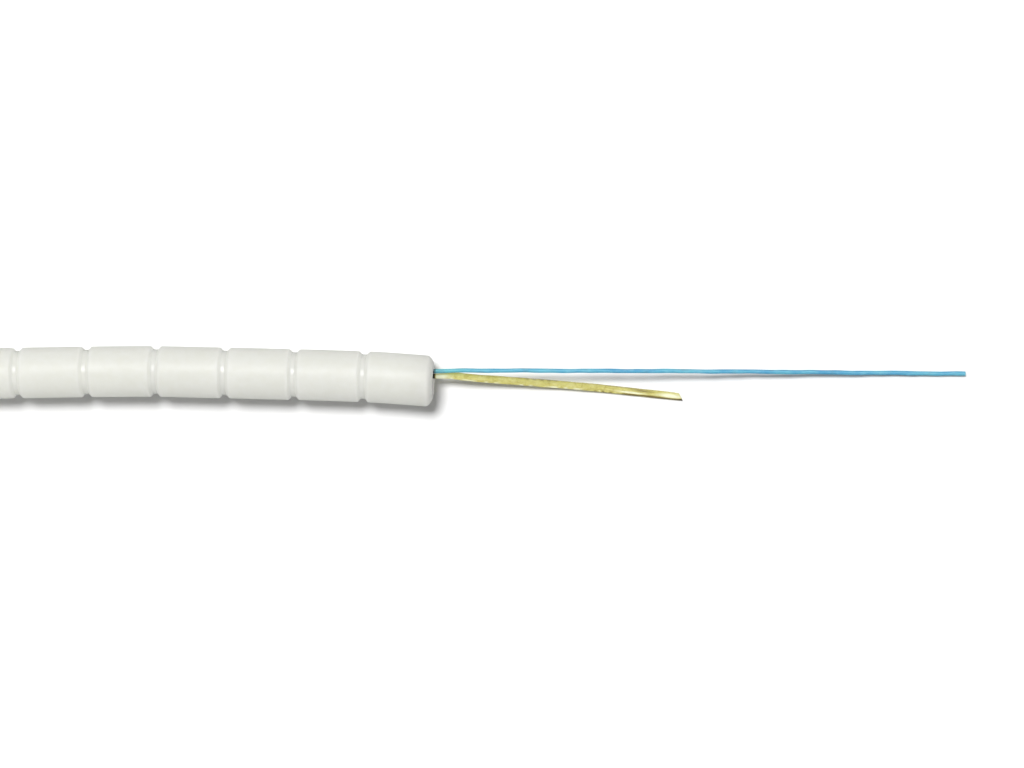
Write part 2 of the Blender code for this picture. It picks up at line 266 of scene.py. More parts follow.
def add_piece(name, points, faces, material, attributes=None, sharp_degrees=180.0):
    """Make a mesh object at the origin from points and faces, with values at its points."""
    mesh = bpy.data.meshes.new(name)
    mesh.from_pydata(points.tolist(), [], faces)
    for label, values in (attributes or {}).items():
        layer = mesh.attributes.new(label, "FLOAT", "POINT")
        layer.data.foreach_set("value", np.asarray(values, np.float32))
    mesh.shade_smooth()
    mesh.set_sharp_from_angle(angle=np.radians(sharp_degrees))
    mesh.materials.append(material)
    mesh.validate()
    piece = bpy.data.objects.new(name, mesh)
    bpy.context.scene.collection.objects.link(piece)
    return piece


def start_material(name):
    """Return a new material, its node tree, its shader and the places in object space."""
    material = bpy.data.materials.new(name)
    material.use_nodes = True
    tree = material.node_tree
    place = tree.nodes.new("ShaderNodeTexCoord").outputs["Object"]
    return material, tree, tree.nodes["Principled BSDF"], place


def set_inputs(tree, node, inputs):
    """Link or set each of these named or numbered inputs of a node."""
    for label, value in inputs.items():
        if isinstance(value, bpy.types.NodeSocket):
            tree.links.new(value, node.inputs[label])
        else:
            node.inputs[label].default_value = value


def add_node(tree, kind, inputs=None, **settings):
    """Add a node with these settings and inputs."""
    node = tree.nodes.new(kind)
    for label, value in settings.items():
        setattr(node, label, value)
    set_inputs(tree, node, inputs or {})
    return node


def point_value(tree, label):
    """Return the value that a mesh keeps at its points under this label."""
    return add_node(tree, "ShaderNodeAttribute", attribute_name=label).outputs["Fac"]


def noise(tree, place, scale, detail=2.0, roughness=0.5):
    """Return a noise pattern's value: its features are about one over the scale across."""
    values = {"Vector": place, "Scale": scale, "Detail": detail, "Roughness": roughness}
    return add_node(tree, "ShaderNodeTexNoise", values).outputs["Fac"]


def ramp(tree, value, low, high, to_low=0.0, to_high=1.0):
    """Return the value moved from the range low to high into the range to_low to to_high."""
    values = {"Value": value, "From Min": low, "From Max": high, "To Min": to_low, "To Max": to_high}
    return add_node(tree, "ShaderNodeMapRange", values).outputs["Result"]


def maths(tree, operation, first, second):
    """Return two values joined by a sum, product or other operation."""
    node = add_node(tree, "ShaderNodeMath", {0: first, 1: second}, operation=operation)
    return node.outputs["Value"]


def mix_colour(tree, share, first, second):
    """Return the colour that lies this share of the way from the first to the second."""
    values = {0: share, 6: first, 7: second}
    return add_node(tree, "ShaderNodeMix", values, data_type="RGBA").outputs[2]


def bump(tree, height, strength, distance):
    """Return a normal that makes the height's relief, with this depth in metres."""
    values = {"Height": height, "Strength": strength, "Distance": distance}
    return add_node(tree, "ShaderNodeBump", values).outputs["Normal"]


def jacket_material():
    """Off-white satin plastic, faintly clouded, glossier in the grooves, darker to the cut, with
    painted shade in the bore.
    """
    material, tree, shader, place = start_material("jacket_plastic")
    groove = point_value(tree, "groove")
    clouds = ramp(tree, noise(tree, place, 210.0, 3.0), 0.35, 0.65)
    mottle = ramp(tree, noise(tree, place, 1300.0, 3.0, 0.6), 0.35, 0.65)
    grain = noise(tree, place, 5200.0, 3.0, 0.6)
    body = mix_colour(tree, clouds, (0.79, 0.795, 0.745, 1.0), (0.805, 0.81, 0.765, 1.0))
    fleck = ramp(tree, mottle, 0.0, 1.0, 0.0, 0.35)
    body = mix_colour(tree, fleck, body, (0.755, 0.755, 0.68, 1.0))
    # Paler in the grooves: painted light that lifts the shade on the groove walls.
    body = mix_colour(tree, ramp(tree, groove, 0.3, 1.0), body, (0.82, 0.825, 0.78, 1.0))
    # Darker towards the cut, with painted shade on the bevel and, at full strength, in the bore.
    body = mix_colour(tree, point_value(tree, "cut_darkening_and_bore_shade"), body, (0.56, 0.55, 0.53, 1.0))
    rough = ramp(tree, mottle, 0.0, 1.0, 0.42, 0.50)
    polish = ramp(tree, groove, 0.6, 0.95, 0.0, 0.24)
    relief = maths(tree, "ADD", grain, maths(tree, "MULTIPLY", mottle, 0.6))
    set_inputs(tree, shader, {
        "Base Color": body,
        "Roughness": maths(tree, "SUBTRACT", rough, polish),
        "Normal": bump(tree, relief, 0.35, 0.02 * MM),
        "IOR": 1.49,
        "Subsurface Weight": 1.0,
        "Subsurface Radius": (1.0, 1.0, 1.0),
        "Subsurface Scale": 1.2 * MM,
    })
    return material


def aside_of_groove(back):
    """Return how far the nearest groove's middle is, with one groove every pitch back from the end."""
    return np.abs((back + GROOVE_PITCH / 2) % GROOVE_PITCH - GROOVE_PITCH / 2)


def groove_depth(back, half_floor, half_mouth):
    """Return the groove's depth as a share: 1 on its floor, easing to 0 at its mouth.

    The first groove's middle lies one pitch back from the stripped end.
    """
    depth = 1 - ease((aside_of_groove(back) - half_floor) / (half_mouth - half_floor))
    return np.where(back < GROOVE_PITCH / 2, 0.0, depth)


def bevel_drop(back):
    """Return how much the cut has taken off the radius: half a straight bevel, half a quarter round."""
    share = np.clip(1 - back / BEVEL_LENGTH, 0.0, 1.0)
    return BEVEL_DEPTH * (0.55 * share**1.7 + 0.45 * (1 - np.sqrt(1 - share**2)))


def jacket_stations(length, coil_length, hidden):
    """Return the distances of the coil's rings and of the straight stretch's rings from the start.

    Rings stand where the grooves need them: at the mouths, at the floors and between, and closer
    on the straight stretch. Turns that other turns hide have one ring for each groove.
    """
    fine = np.array([0.13, 0.15, 0.20, 0.26, 0.33, 0.41, 0.49, 0.56, 0.8, 1.5, 2.4]) * MM
    fine = np.concatenate([-fine[::-1], [0.0], fine])
    mouth, floor = COIL_GROOVE_HALF_MOUTH, COIL_GROOVE_HALF_FLOOR
    coarse = np.array([-mouth, -floor, floor, mouth, GROOVE_PITCH / 2])
    grooves = GROOVE_PITCH * np.arange(1, int(length / GROOVE_PITCH))
    run = length - (grooves[:, None] + fine).ravel()
    run = run[run > coil_length + GROOVE_PITCH / 4]
    coil = length - (grooves[:, None] + coarse).ravel()
    coil = np.sort(coil[(coil > 1.0 * MM) & (coil < run.min() - 0.4 * MM)])
    seen = ~hidden(coil) | (aside_of_groove(length - coil) > 0.49 * GROOVE_PITCH)
    end = length - np.array([0.9, 0.7, 0.62, 0.54, 0.46, 0.38, 0.29, 0.20, 0.11, 0.05, 0.0]) * MM
    run = np.sort(np.concatenate([run[run < end.min() - 0.1 * MM], [end.min() - 1.6 * MM], end]))
    return coil[seen], run


coil_line, coil_column, coil_row = wound_line()
run_route = np.stack([
    JACKET_ROUTE[:, 0] * MM + view_middle.x,
    JACKET_ROUTE[:, 1] * MM + view_middle.y,
    JACKET_RADIUS + JACKET_ROUTE[:, 2] * (first_row_height - JACKET_RADIUS),
], axis=1)
run_line = smooth_route(run_route)
jacket_line = np.vstack([coil_line[:-1], run_line])
jacket_length = distances_along(jacket_line)[-1]
coil_length = distances_along(coil_line)[-1]


def is_hidden(stations):
    """Say which distances along the coil lie inside it, at least one turn from every side."""
    along = distances_along(coil_line)
    column = np.interp(stations, along, coil_column)
    row = np.interp(stations, along, coil_row)
    return (column > 0.999) & (column < COLUMNS - 1.999) & (row > 0.999) & (row < ROWS - 1.999)


# The rings go up the far end's bore, over its softened edge, across the cut and over the outer
# edge. At the stripped end they go in over the bore's softened edge and back along the bore.
coil_stations, run_stations = jacket_stations(jacket_length, coil_length, is_hidden)
start_stations = np.array([FREE_END_BORE, 0.05 * MM, 0.0, 0.0, 0.05 * MM, 0.2 * MM])
start_radii = np.array([BORE_RADIUS, BORE_RADIUS, 1.28 * MM, 2.3 * MM, 2.37 * MM, JACKET_RADIUS])
coil_back = jacket_length - coil_stations
coil_depth = groove_depth(coil_back, COIL_GROOVE_HALF_FLOOR, COIL_GROOVE_HALF_MOUTH)
coil_radii = JACKET_RADIUS - GROOVE_DEPTH * coil_depth
run_back = jacket_length - run_stations
run_depth = groove_depth(run_back, GROOVE_HALF_FLOOR, GROOVE_HALF_MOUTH)
run_radii = JACKET_RADIUS - GROOVE_DEPTH * run_depth - bevel_drop(run_back)
bore_back = np.array([0.0, 0.0, 0.06, 0.5, 3.0, 9.0, 18.0, BORE_SHOWN_LENGTH / MM]) * MM
bore_stations = jacket_length - bore_back
bore_radii = np.array([1.42, 1.30, 1.25, 1.25, 1.25, 1.25, 1.25, 1.25]) * MM

coarse_stations = np.concatenate([start_stations, coil_stations])
coarse_radii = np.concatenate([start_radii, coil_radii])
coarse_groove = np.concatenate([0 * start_radii, coil_depth])
fine_stations = np.concatenate([run_stations, bore_stations])
fine_radii = np.concatenate([run_radii, bore_radii])
fine_groove = np.concatenate([run_depth, 0 * bore_radii])
# Darker over the last few millimetres before the cut, with painted shade on the bevel; the bore rings
# get full painted shade.
cut_darkening_and_bore_shade = 0.26 * (1 - ease(run_back / CUT_DARKENING_LENGTH)) + 0.3 * (1 - ease(run_back / BEVEL_LENGTH))
cut_darkening_and_bore_shade = np.concatenate([cut_darkening_and_bore_shade, 0 * bore_radii + 1.0])

coarse_rings = rings_along(jacket_line, coarse_stations, coarse_radii, COIL_SIDES)
fine_rings = rings_along(jacket_line, fine_stations, fine_radii, RUN_SIDES)
fine_back = jacket_length - fine_stations
near_cut = ease((CUT_SLANT_REACH[1] - fine_back) / (CUT_SLANT_REACH[1] - CUT_SLANT_REACH[0]))
towards_y = fine_radii[:, None] * np.cos(np.linspace(0.0, 2 * np.pi, RUN_SIDES, endpoint=False))
fine_rings[..., 0] -= CUT_SLANT * near_cut[:, None] * towards_y
first_fine = coarse_rings.shape[0] * COIL_SIDES
first_pole = first_fine + fine_rings.shape[0] * RUN_SIDES
poles = points_at(jacket_line, np.array([FREE_END_BORE, bore_stations[-1]]))
jacket_points = np.vstack([coarse_rings.reshape(-1, 3), fine_rings.reshape(-1, 3), poles])
of_coarse, of_fine = np.repeat(coarse_groove, COIL_SIDES), np.repeat(fine_groove, RUN_SIDES)
jacket_groove = np.concatenate([of_coarse, of_fine, [0.0, 0.0]])
jacket_cut_darkening_and_bore_shade = np.concatenate([0 * of_coarse, np.repeat(cut_darkening_and_bore_shade, RUN_SIDES), [0.0, 1.0]])

# The last coarse ring meets the first fine one: each of its sides spans three of the fine sides
side = np.arange(COIL_SIDES)
near = first_fine - COIL_SIDES + side
near_next = first_fine - COIL_SIDES + (side + 1) % COIL_SIDES
far = [first_fine + (3 * side + number) % RUN_SIDES for number in range(4)]
joint = np.concatenate([
    np.stack([near, far[1], far[0]], axis=-1),
    np.stack([near, far[2], far[1]], axis=-1),
    np.stack([near, near_next, far[2]], axis=-1),
    np.stack([near_next, far[3], far[2]], axis=-1),
])
jacket_faces = [
    *ring_faces(coarse_rings.shape[0], COIL_SIDES).tolist(),
    *ring_faces(fine_rings.shape[0], RUN_SIDES, first_fine).tolist(),
    *joint.tolist(),
    *fan_faces(first_pole, 0, COIL_SIDES, True).tolist(),
    *fan_faces(first_pole + 1, first_pole - RUN_SIDES, RUN_SIDES, False).tolist(),
]
shares = {"groove": jacket_groove, "cut_darkening_and_bore_shade": jacket_cut_darkening_and_bore_shade}
jacket = add_piece("jacket", jacket_points, jacket_faces, jacket_material(), shares, 35.0)
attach(jacket, "root")
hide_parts("jacket_run", "jacket_coil")

# Fibre
# One hair-thin glass fibre in a light blue plastic buffer, four tenths of a millimetre across. It
# runs loose in the jacket's bore, leaves it against the wall and sinks to the floor. Both its ends
# are cut square, and the far one is flush with the jacket's far end.
FIBRE_RADIUS = 0.2 * MM
COATING_RADIUS = 0.125 * MM
GLASS_RADIUS = 0.0625 * MM
FIBRE_SIDES = 24
FIBRE_RING_STEP = 0.3 * MM
FIBRE_WAVE = 0.016 * MM
FIBRE_DROOP = 0.04 * MM
MOUTH_RISE = 0.11 * MM
MOUTH_RISE_LENGTH = 2.6 * MM
TEAL_LENGTH = 5.0 * MM
MOUTH_SHADE_REACH = (0.05 * MM, 0.19 * MM)
FIBRE_SETTLES_OVER = 6 * MM
HIDDEN_LENGTH = 25 * MM
FIBRE_ACROSS = np.linspace(0.45, 0.857, 4) * MM
STUB_LENGTH = 3.8 * MM
FIBRE_STUB_RISE = 0.55 * MM

# Route beyond the mouth, in millimetres from the view's middle and above the floor
FIBRE_ROUTE = np.array([
    (-4.6, 1.26, 2.39),
    (-1.2, 1.30, 2.34),
    (3.0, 1.29, 2.23),
    (7.6, 1.27, 2.06),
    (12.4, 1.26, 1.83),
    (17.6, 1.23, 1.53),
    (22.4, 1.20, 1.21),
    (27.1, 1.16, 0.90),
    (31.8, 1.11, 0.61),
    (36.4, 1.07, 0.40),
    (39.6, 1.04, 0.31),
    (42.6, 1.01, 0.27),
])


def core_line(across, up, route):
    """Return a smooth line: the last stretch of the bore, off its middle, and then the route."""
    back = np.linspace(-HIDDEN_LENGTH, 0.0, len(across))
    hidden = points_at(run_line, distances_along(run_line)[-1] + back)
    hidden = hidden + np.stack([0 * across, across, up], axis=1)
    return smooth_route(np.vstack([hidden, route * MM + np.array(view_middle)]))


def fibre_material():
    """Light blue buffer: teal by the mouth and painted shade inside it, patchy beyond, with a glass
    core.
    """
    material, tree, shader, place = start_material("blue_buffer")
    core = point_value(tree, "core")
    drawn = add_node(tree, "ShaderNodeMapping", {"Vector": place, "Scale": (0.5, 1.0, 1.0)})
    patches = ramp(tree, noise(tree, drawn.outputs["Vector"], 700.0, 3.0, 0.6), 0.38, 0.62)
    fine = ramp(tree, noise(tree, drawn.outputs["Vector"], 2600.0, 3.0, 0.6), 0.34, 0.66)
    specks = ramp(tree, noise(tree, drawn.outputs["Vector"], 1500.0, 2.0, 0.5), 0.60, 0.70)
    body = mix_colour(tree, patches, (0.085, 0.38, 0.61, 1.0), (0.15, 0.52, 0.66, 1.0))
    body = mix_colour(tree, point_value(tree, "teal"), body, (0.15, 0.56, 0.60, 1.0))
    body = mix_colour(tree, ramp(tree, fine, 0.45, 1.0, 0.0, 0.35), body, (0.26, 0.60, 0.74, 1.0))
    body = mix_colour(tree, ramp(tree, specks, 0.0, 1.0, 0.0, 0.45), body, (0.13, 0.33, 0.44, 1.0))
    # Near black in and just past the mouth: painted shade.
    body = mix_colour(tree, point_value(tree, "mouth"), body, (0.03, 0.05, 0.06, 1.0))
    body = mix_colour(tree, ramp(tree, core, 0.15, 0.4), body, (0.62, 0.70, 0.72, 1.0))
    body = mix_colour(tree, ramp(tree, core, 0.6, 0.9), body, (0.90, 0.95, 0.96, 1.0))
    set_inputs(tree, shader, {
        "Base Color": body,
        "Roughness": ramp(tree, fine, 0.0, 1.0, 0.34, 0.48),
        "Normal": bump(tree, fine, 0.3, 0.01 * MM),
        "IOR": 1.5,
        "Subsurface Weight": 0.5,
        "Subsurface Radius": (1.0, 1.0, 1.0),
        "Subsurface Scale": 0.2 * MM,
    })
    return material


def closed_tube_faces(rings, sides):
    """Return the faces of a tube of rings that closes on two poles, which are its last points."""
    pole = rings * sides
    return [
        *ring_faces(rings, sides).tolist(),
        *fan_faces(pole, 0, sides, True).tolist(),
        *fan_faces(pole + 1, pole - sides, sides, False).tolist(),
    ]


def fibre_shape(line):
    """Return a fibre's points, faces, core shares and ring middles.

    Rings of one radius follow the line, with a slow swell of two waves for the uneven buffer. At
    both ends the radius falls to zero in the end's plane, through the coating and the glass.
    """
    length = distances_along(line)[-1]
    stations = np.linspace(0.0, length, round(length / FIBRE_RING_STEP))
    swell = 1 + 0.03 * np.sin(stations / (0.9 * MM)) + 0.025 * np.sin(stations / (0.37 * MM) + 1.3)
    end_radii = np.array([GLASS_RADIUS, COATING_RADIUS, FIBRE_RADIUS * 0.97])
    all_stations = np.concatenate([0 * end_radii, stations, 0 * end_radii + length])
    radii = np.concatenate([end_radii, FIBRE_RADIUS * swell, end_radii[::-1]])
    radii[[3, -4]] = FIBRE_RADIUS
    core = np.concatenate([[0.8, 0.5, 0.0], 0 * stations, [0.0, 0.5, 0.8]])
    rings = rings_along(line, all_stations, radii, FIBRE_SIDES)
    points = np.vstack([rings.reshape(-1, 3), points_at(line, np.array([0.0, length]))])
    faces = closed_tube_faces(len(all_stations), FIBRE_SIDES)
    core = np.concatenate([np.repeat(core, FIBRE_SIDES), [1.0, 1.0]])
    return points, faces, core, points_at(line, stations)


fibre_line = core_line(FIBRE_ACROSS, np.zeros(4), FIBRE_ROUTE)
past_mouth = distances_along(fibre_line) - HIDDEN_LENGTH
is_out = ease(past_mouth / FIBRE_SETTLES_OVER)
fibre_line[:, 1] += MOUTH_RISE * np.exp(-((past_mouth / MOUTH_RISE_LENGTH) ** 2)) - FIBRE_DROOP * is_out
fibre_line[:, 1] += FIBRE_WAVE * is_out * np.sin(past_mouth / (1.1 * MM))
fibre_line[:, 1] += 0.5 * FIBRE_WAVE * is_out * np.sin(past_mouth / (0.43 * MM) + 0.8)
blue_buffer = fibre_material()
points, faces, core_share, middles = fibre_shape(fibre_line)
beyond_cut = points[:, 0] - run_line[-1, 0]
teal_share = 1 - ease(beyond_cut / TEAL_LENGTH)
# Painted shade in the jacket's mouth, fading just past the cut.
painted_mouth_shade = 1 - ease((beyond_cut - MOUTH_SHADE_REACH[0]) / (MOUTH_SHADE_REACH[1] - MOUTH_SHADE_REACH[0]))
shares = {"core": core_share, "teal": teal_share, "mouth": painted_mouth_shade}
fibre = add_piece("buffered_fibre", points, faces, blue_buffer, shares, 50.0)
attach(fibre, "root")
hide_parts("fibre")

# The far end lies in the bore just inside the cut that starts the coil
stub_line = points_at(jacket_line, np.linspace(STUB_LENGTH, 0.02 * MM, 12))
points, faces, core_share, _ = fibre_shape(stub_line + np.array([0.0, 0.0, FIBRE_STUB_RISE]))
shares = {"core": core_share, "teal": 0 * core_share, "mouth": 0 * core_share}
fibre_stub = add_piece("buffered_fibre_far_end", points, faces, blue_buffer, shares, 50.0)
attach(fibre_stub, "root")

# Yarn
# A flat strand of golden aramid filaments that takes the pull on the cable. It twists once at the
# mouth, spreads flat on the floor and is cut off at a slant, shorter than the fibre.
YARN_WIDTH = 0.66 * MM
YARN_THICKNESS = 0.28 * MM
YARN_SIDES = 96
YARN_RING_STEP = 0.16 * MM
YARN_SPREADS_OVER = 2.8 * MM
YARN_MOUTH_SHARE = 0.66
YARN_MOUTH_ROLL = 0.25
YARN_SLANT = 0.42 * MM
YARN_SLANT_LENGTH = 1.6 * MM
YARN_DROOP = 0.05 * MM
YARN_DROOPS_OVER = 6 * MM
YARN_ACROSS = np.full(4, 0.5) * MM
YARN_UP = np.full(4, -0.55) * MM
YARN_STUB_DROP = 0.5 * MM
RIDGES = 15
RIDGE_HEIGHT = 0.007 * MM
RAGGED_HEIGHT = 0.015 * MM
TIP_ROUGHNESS = 0.012 * MM
LOOSE_FILAMENTS = 52
FILAMENT_RADIUS = 0.011 * MM
FILAMENT_SIDES = 5
FILAMENT_RINGS = 26
FILAMENT_STARTS = (0.52, 0.93)
FILAMENT_LENGTHS = (2.0 * MM, 7.0 * MM)
FILAMENT_LIFT = 0.010 * MM
FILAMENT_ARCH = 0.035 * MM

# Route beyond the mouth, in millimetres from the view's middle and above the floor
YARN_ROUTE = np.array([
    (-6.0, 0.80, 1.80),
    (-3.1, 0.57, 1.46),
    (0.7, 0.28, 0.95),
    (4.4, 0.00, 0.54),
    (8.2, -0.33, 0.30),
    (12.0, -0.75, 0.20),
    (14.4, -1.00, 0.17),
    (16.05, -1.18, 0.17),
])

yarn_line = core_line(YARN_ACROSS, YARN_UP, YARN_ROUTE)
past_mouth = distances_along(yarn_line) - HIDDEN_LENGTH
yarn_line[:, 1] -= YARN_DROOP * ease(past_mouth / YARN_DROOPS_OVER)
yarn_length = distances_along(yarn_line)[-1]


def strand_surface(station, turn, lift):
    """Return points on the strand, for arrays of distances, of turns round it and of lifts off it.

    The section is a flat oval: half the width times the cosine of the turn, half the thickness
    times its sine, narrow at the mouth and full beyond it, rolled at the mouth and flat beyond.
    The cut end slants, so a point's distance is shortened by its cosine near the tip.
    """
    spread = ease((station - HIDDEN_LENGTH) / YARN_SPREADS_OVER)
    share = YARN_MOUTH_SHARE + (1 - YARN_MOUTH_SHARE) * spread
    roll = YARN_MOUTH_ROLL * (1 - spread) + 0.09 * np.sin(station / (2.3 * MM))
    near_tip = ease((station - yarn_length) / YARN_SLANT_LENGTH + 1)
    middle, side, upward, forward = frames_along(yarn_line, station)
    wide = (share * YARN_WIDTH / 2 + lift) * np.cos(turn)
    thick = (share * YARN_THICKNESS / 2 + lift) * np.sin(turn)
    across = wide * np.cos(roll) - thick * np.sin(roll)
    above = wide * np.sin(roll) + thick * np.cos(roll)
    back = near_tip * YARN_SLANT * (0.5 + 0.5 * np.cos(turn))
    return middle + across[:, None] * side + above[:, None] * upward - back[:, None] * forward


def yarn_material():
    """Golden filaments: streaks along the strand, flecks and clumps, and cream or brown by shade,
    partly painted light.
    """
    material, tree, shader, place = start_material("aramid_filaments")
    shade = point_value(tree, "shade")
    lengthwise = maths(tree, "MULTIPLY", point_value(tree, "along"), 110.0)
    crosswise = maths(tree, "MULTIPLY", point_value(tree, "turn"), 40.0)
    laid = add_node(tree, "ShaderNodeCombineXYZ", {"X": lengthwise, "Y": crosswise})
    streaks = ramp(tree, noise(tree, laid.outputs["Vector"], 1.0, 4.0, 0.65), 0.36, 0.64)
    flecks = ramp(tree, noise(tree, place, 3600.0, 3.0, 0.6), 0.36, 0.64)
    clumps = ramp(tree, noise(tree, place, 1100.0, 2.0), 0.40, 0.60)
    body = mix_colour(tree, streaks, (0.56, 0.50, 0.12, 1.0), (0.76, 0.71, 0.22, 1.0))
    body = mix_colour(tree, ramp(tree, flecks, 0.55, 1.0, 0.0, 0.65), body, (0.50, 0.42, 0.09, 1.0))
    body = mix_colour(tree, ramp(tree, clumps, 0.4, 1.0, 0.0, 0.4), body, (0.82, 0.78, 0.33, 1.0))
    # Cream where shade is high, partly painted highlight; brown where it is low, partly painted shade;
    # near black below that, painted shadow.
    body = mix_colour(tree, ramp(tree, shade, 0.0, 0.8), body, (0.98, 0.98, 0.70, 1.0))
    body = mix_colour(tree, ramp(tree, shade, 0.0, -1.0), body, (0.20, 0.14, 0.05, 1.0))
    body = mix_colour(tree, ramp(tree, shade, -1.0, -2.0), body, (0.03, 0.03, 0.02, 1.0))
    set_inputs(tree, shader, {
        "Base Color": body,
        "Roughness": ramp(tree, streaks, 0.0, 1.0, 0.34, 0.55),
        "Normal": bump(tree, streaks, 0.5, 0.02 * MM),
        "Sheen Weight": 0.2,
        "Sheen Roughness": 0.4,
    })
    return material


def strand_shade(station, turn):
    """Return how pale or dark the strand is at these places, from 1 for cream to -1 for brown.

    Each mark is a bell curve along the strand times one across it, on the upper face. Two crests near
    the tip and the twist at the mouth are pale as painted highlights, and spots along the far edge are
    pale. The far edge is brown over the last stretch, as painted shade, with dark specks before it, and
    the near edge is tan in places. The strand is near black in the jacket's mouth and at its own sharp
    last corner, as painted shadow.
    """
    back = (yarn_length - station) / MM
    out = (station - HIDDEN_LENGTH) / MM
    across = np.cos(turn)
    upper = np.clip(3 * np.sin(turn) + 0.6, 0.0, 1.0)

    def bell(value, middle, width):
        """Return a bell curve: e to the power of minus the squared distance over the width."""
        return np.exp(-(((value - middle) / width) ** 2))

    # Painted highlights: two crests near the tip and the twist at the mouth.
    crest = bell(back, 4.9, 1.1) * bell(across, -0.35, 0.34)
    tip = bell(back, 1.1, 1.1) * bell(across, -0.2, 0.7)
    twist = bell(out, 0.5, 0.8) * bell(across, -0.3, 0.9)
    spots = np.clip(np.sin(back * 4.1 + 2 * np.sin(back * 1.7)), 0.0, 1.0)
    pale_edge = bell(across, -0.88, 0.2) * spots * ease((back - 6.0) / 2.0)
    # Painted shade: the far edge darkens to brown over the last stretch.
    shaded_far_edge = bell(across, -1.0, 0.34) * ease((6.2 - back) / 1.2)
    specks = bell(across, -1.0, 0.32) * bell(back, 7.3, 1.0)
    specks *= np.clip(1.8 * np.sin(back * 8.5), 0.0, 1.0)
    dashes = 1.3 * bell(across, 1.0, 0.3) * bell(back, 13.5, 2.0) * (0.6 + 0.4 * np.sin(back * 9.0))
    tan = bell(back, 3.9, 0.9) * bell(across, 0.5, 0.35) + dashes
    tan += 0.8 * bell(across, 1.0, 0.22) * bell(back, 5.5, 2.8)
    # Painted shadow: near black at the sharp last corner and in the jacket's mouth.
    corner = bell(back, 0.0, 0.22) * bell(across, -1.0, 0.4)
    mouth = 1 - ease((out - 0.04) / 0.14)
    pale = 1.4 * crest + 1.1 * tip + 1.2 * twist + 0.9 * pale_edge
    dark = 2.2 * shaded_far_edge + 1.6 * specks + 0.7 * tan
    shade = upper * np.clip(pale - dark, -1.0, 1.0)
    return np.clip(shade - 2.0 * corner - 3.0 * mouth, -2.0, 1.0)


def thin_tubes(lines, step, aside, radius, sides, first_point):
    """Return the points and faces of one thin tube round each line, closed flat at both ends.

    A point is its line's point plus the radius times (cosine times aside, sine times step crossed
    with aside). The faces count points from the first one's number.
    """
    count, rings = lines.shape[:2]
    turn = np.linspace(0.0, 2 * np.pi, sides, endpoint=False)[None, None, :, None]
    offset = np.cos(turn) * aside[:, :, None] + np.sin(turn) * np.cross(step, aside)[:, :, None]
    starts = first_point + np.arange(count) * rings * sides
    tubes = starts[:, None, None] + ring_faces(rings, sides)[None]
    near_caps = starts[:, None] + np.arange(sides)[::-1]
    far_caps = starts[:, None] + (rings - 1) * sides + np.arange(sides)
    faces = [*tubes.reshape(-1, 4).tolist(), *near_caps.tolist(), *far_caps.tolist()]
    return (lines[:, :, None] + radius * offset).reshape(-1, 3), faces


rng = np.random.default_rng(7)
stations = np.linspace(0.0, yarn_length, round(yarn_length / YARN_RING_STEP))
turns = np.linspace(0.0, 2 * np.pi, YARN_SIDES, endpoint=False)
station_grid, turn_grid = (grid.ravel() for grid in np.meshgrid(stations, turns, indexing="ij"))
ridge = np.sin(RIDGES * turn_grid + 2.2 * np.sin(station_grid / (3.1 * MM)) + station_grid / (1.9 * MM))
ridge += 0.6 * np.sin((RIDGES + 8) * turn_grid - station_grid / (1.3 * MM) + 2.0)
ragged = np.sin(station_grid / (0.41 * MM) + 3 * np.sin(station_grid / (1.7 * MM)))
ragged *= np.abs(np.cos(turn_grid)) ** 6
lift = RIDGE_HEIGHT * ridge + RAGGED_HEIGHT * ragged
strand_points = strand_surface(station_grid, turn_grid, lift)
strand_shades = strand_shade(station_grid, turn_grid)
rings = strand_points.reshape(len(stations), YARN_SIDES, 3)
start_middle, tip_middle = rings[0].mean(axis=0), rings[-1].mean(axis=0)
tip_rings = [tip_middle + share * (rings[-1] - tip_middle) for share in (0.66, 0.33)]
tip_rings = [ring + rng.normal(0.0, TIP_ROUGHNESS, ring.shape) for ring in tip_rings]
strand_points = np.vstack([strand_points, *tip_rings, start_middle, tip_middle])
strand_faces = closed_tube_faces(len(stations) + len(tip_rings), YARN_SIDES)
tip_count = len(tip_rings) * YARN_SIDES
strand_turn = np.concatenate([turn_grid, np.tile(turns, len(tip_rings)), [0.0, 0.0]]) / (2 * np.pi)
strand_along = np.concatenate([station_grid, np.full(tip_count, yarn_length), [0.0, yarn_length]])
strand_along /= yarn_length
strand_shades = np.concatenate([strand_shades, np.full(tip_count, 0.35), [0.0, 0.35]])

# Loose filaments lie on the strand and drift off it: each is a thin tube whose line is a place on
# the strand's surface that moves along it, turns slowly round it and lifts in an arc
share = np.linspace(0.0, 1.0, FILAMENT_RINGS)[None, :]
first = rng.uniform(*FILAMENT_STARTS, LOOSE_FILAMENTS)[:, None] * yarn_length
reach = rng.uniform(*FILAMENT_LENGTHS, LOOSE_FILAMENTS)[:, None]
place_along = np.minimum(first + reach * share, yarn_length + 0.08 * MM)
edge = rng.choice([0.0, np.pi, np.pi, np.pi / 2], LOOSE_FILAMENTS)[:, None]
drift = rng.normal(0.0, 0.5, LOOSE_FILAMENTS)[:, None] * share
place_turn = edge + rng.normal(0.0, 0.35, LOOSE_FILAMENTS)[:, None] + drift
arch = rng.uniform(0.0, FILAMENT_ARCH, LOOSE_FILAMENTS)[:, None] * np.sin(np.pi * share)
lift = FILAMENT_LIFT + arch
filament_lines = strand_surface(place_along.ravel(), place_turn.ravel(), lift.ravel())
filament_lines = filament_lines.reshape(LOOSE_FILAMENTS, FILAMENT_RINGS, 3)
step = unit(np.gradient(filament_lines, axis=1))
aside = unit(np.cross(np.array([0.0, 0.0, 1.0]), step))
filament_points, filament_faces = thin_tubes(
    filament_lines, step, aside, FILAMENT_RADIUS, FILAMENT_SIDES, len(strand_points)
)
filament_points[:, 2] = np.maximum(filament_points[:, 2], 0.0)
